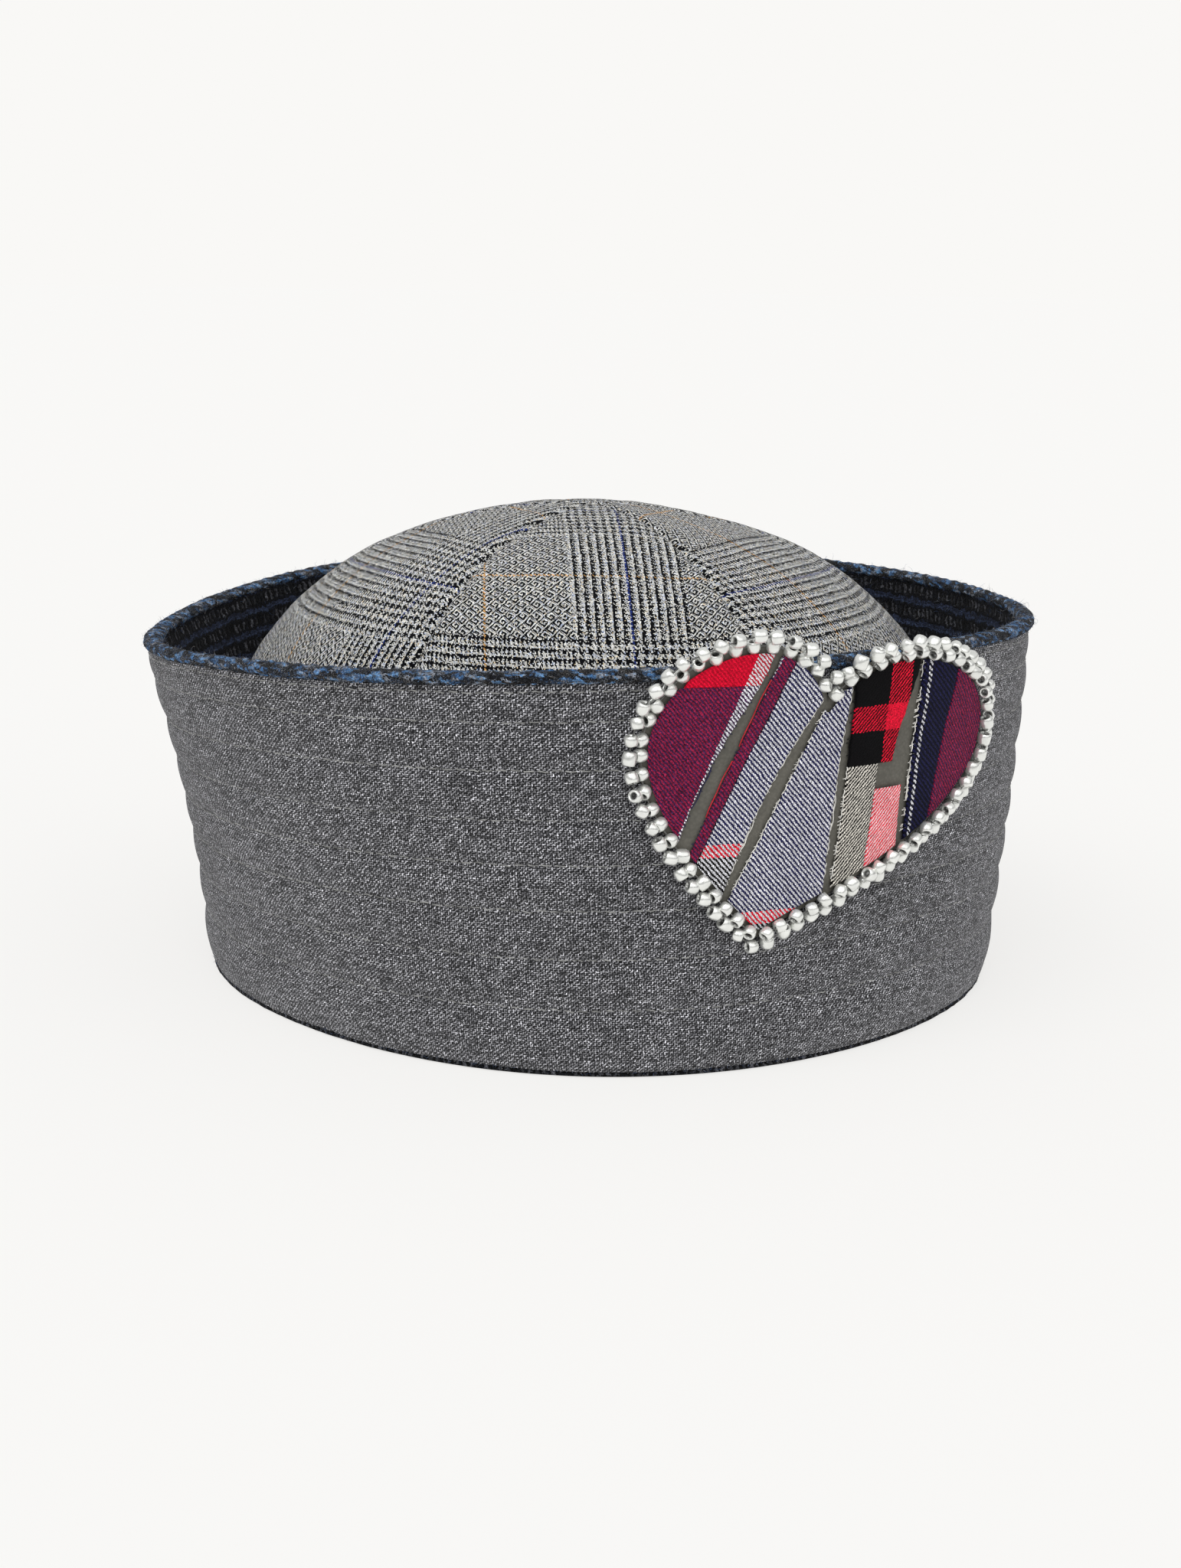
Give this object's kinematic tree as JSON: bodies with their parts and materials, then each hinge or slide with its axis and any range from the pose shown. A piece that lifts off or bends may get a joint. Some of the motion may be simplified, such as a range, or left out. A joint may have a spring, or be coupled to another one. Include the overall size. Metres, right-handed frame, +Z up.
{
  "type": "sailor hat",
  "caption": "Round sailor hat with a gored crown of glen check, a tall turned-up quilted brim lined in tweed, and a beaded heart patch of leather and plaid on its right front.",
  "frame": {"origin": "on the surface that the hat rests on, under the middle of its bounding box", "axes": "+Z up through the crown, +X to the hat's right as seen from the front, the front looks along -Y"},
  "size_m": [0.2168, 0.2118, 0.1137],
  "materials": {
    "glen_check": "fine wool glen check, matte",
    "grey_worsted": "mid-grey melange worsted, matte, quilted",
    "navy_tweed": "navy and black wool tweed, fuzzy",
    "grey_leather": "smooth grained grey leather",
    "burgundy_wool": "burgundy and navy twill, matte",
    "scarlet_plaid": "scarlet and white twill plaid, matte",
    "blue_white_twill": "navy and white twill, matte",
    "cream_black_twill": "cream and black twill, matte",
    "black_red_tartan": "black and red tartan twill, matte",
    "coral_white_twill": "coral and white twill, matte",
    "navy_twill": "solid navy twill, matte",
    "silver_beads": "satin silver seed beads"
  },
  "bodies": {
    "root": {"crown_panel_1": "glen_check", "crown_panel_2": "glen_check", "crown_panel_3": "glen_check", "crown_panel_4": "glen_check", "crown_panel_5": "glen_check", "crown_panel_6": "glen_check", "brim_cloth": "grey_worsted", "brim_lining": "navy_tweed", "heart_backing": "grey_leather", "patch_burgundy_left": "burgundy_wool", "patch_scarlet": "scarlet_plaid", "patch_twill_left": "blue_white_twill", "patch_wine": "burgundy_wool", "patch_twill_right": "blue_white_twill", "patch_cream": "cream_black_twill", "patch_tartan": "black_red_tartan", "patch_coral": "coral_white_twill", "patch_navy": "navy_twill", "patch_burgundy_right": "burgundy_wool", "beads_inner_left": "silver_beads", "beads_inner_right": "silver_beads", "beads_outer_left": "silver_beads", "beads_outer_right": "silver_beads"}
  },
  "joints": []
}
